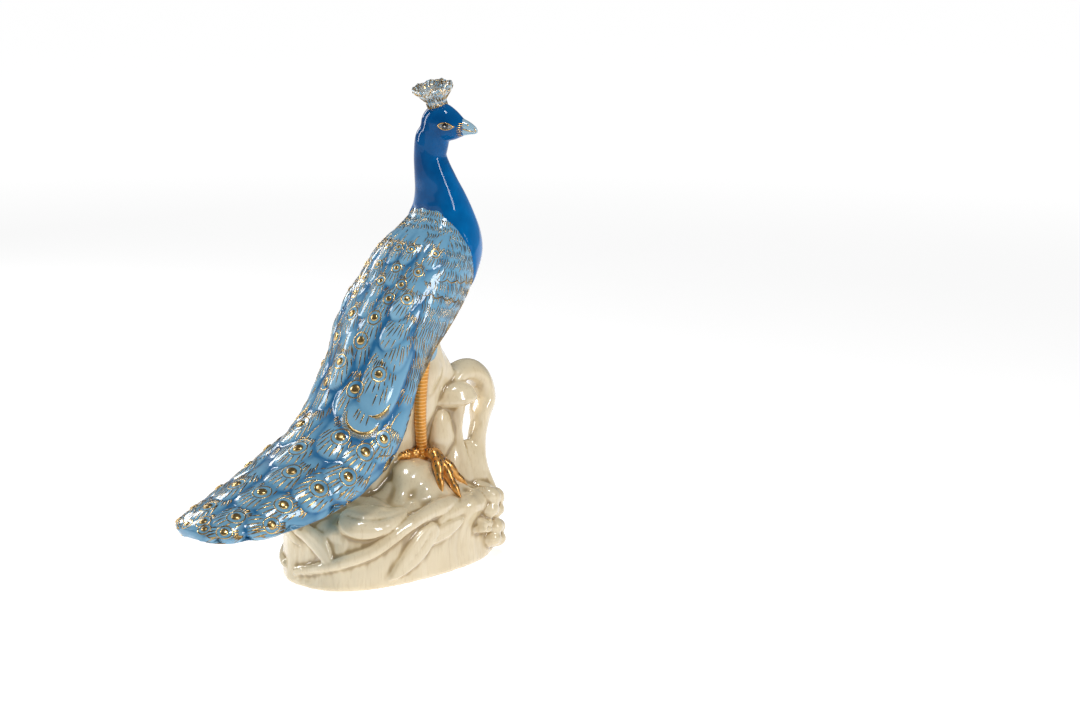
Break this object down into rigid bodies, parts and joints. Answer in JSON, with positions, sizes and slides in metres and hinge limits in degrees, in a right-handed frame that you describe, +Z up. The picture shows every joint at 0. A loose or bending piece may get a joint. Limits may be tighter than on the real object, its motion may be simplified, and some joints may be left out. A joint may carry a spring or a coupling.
{
  "type": "porcelain peacock figurine",
  "caption": "Glazed porcelain peacock standing on a rocky stump with a curled vine, leaves and blossoms, its long train sweeping down behind; a mantelpiece ornament.",
  "frame": {"origin": "middle of the base's oval foot, on the flat underside that it stands on", "axes": "+X the way the bird's breast faces, +Y to the bird's left, +Z up"},
  "size_m": [0.3231, 0.1256, 0.387],
  "materials": {
    "cream_glaze": "glossy ivory glaze, brown in the hollows",
    "smalt_glaze": "glossy cobalt glaze",
    "sky_glaze": "glossy light blue glaze with gold strokes",
    "pale_glaze": "glossy pale blue glaze with gold",
    "eye_glaze": "glossy black enamel",
    "gilding": "burnished gold over porcelain"
  },
  "bodies": {
    "root": {"base": "cream_glaze", "pillar": "cream_glaze", "vine": "cream_glaze", "bud": "cream_glaze", "spur": "cream_glaze", "leaf_side": "cream_glaze", "leaf_rear": "cream_glaze", "leaf_hanging": "cream_glaze", "leaf_front": "cream_glaze", "leaf_far": "cream_glaze", "leaf_far_low": "cream_glaze", "root_side": "cream_glaze", "root_far": "cream_glaze", "blossom_high": "cream_glaze", "blossom_low": "cream_glaze", "leg_left": "gilding", "leg_right": "gilding", "foot_left": "gilding", "foot_right": "gilding", "trunk": "sky_glaze", "wing_left": "sky_glaze", "wing_right": "sky_glaze", "train": "sky_glaze", "train_end": "sky_glaze", "neck": "smalt_glaze", "head": "smalt_glaze", "bill": "pale_glaze", "crest": "pale_glaze", "eye_left": "eye_glaze", "eye_right": "eye_glaze"}
  },
  "joints": []
}
